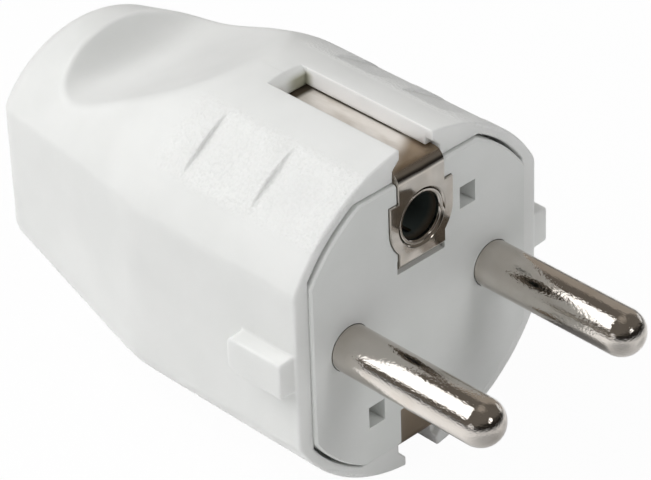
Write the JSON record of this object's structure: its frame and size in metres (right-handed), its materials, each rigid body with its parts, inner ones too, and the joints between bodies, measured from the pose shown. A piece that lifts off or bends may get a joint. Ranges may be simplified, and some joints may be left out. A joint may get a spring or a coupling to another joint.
{
  "type": "rewireable plug",
  "caption": "Rewireable mains plug with round pins, earth strips in side slots and a socket for an earth pin, in a white hood with finger scallops, grip pockets and a rear cable entry.",
  "frame": {"origin": "middle of the engagement face, halfway between the pins' axes", "axes": "-Y along the pins towards their tips, +Y towards the cable entry, +X from the line pin to the neutral pin, +Z towards the earth socket"},
  "size_m": [0.036, 0.0678, 0.0364],
  "materials": {
    "hood_plastic": "white moulded plastic, fine satin grain",
    "carrier_plastic": "white moulded plastic, smooth satin",
    "pin_metal": "bright nickel plate on brass",
    "strip_metal": "nickel plate on brass sheet",
    "screw_steel": "zinc plated steel"
  },
  "bodies": {
    "root": {"hood": "hood_plastic", "pin_carrier": "carrier_plastic", "line_pin": "pin_metal", "neutral_pin": "pin_metal", "earth_strip": "strip_metal", "earth_sleeve": "strip_metal", "terminal_screws": "screw_steel", "earth_clamp_plate": "screw_steel", "cord_clamp": "carrier_plastic", "clamp_screws": "screw_steel"}
  },
  "joints": []
}
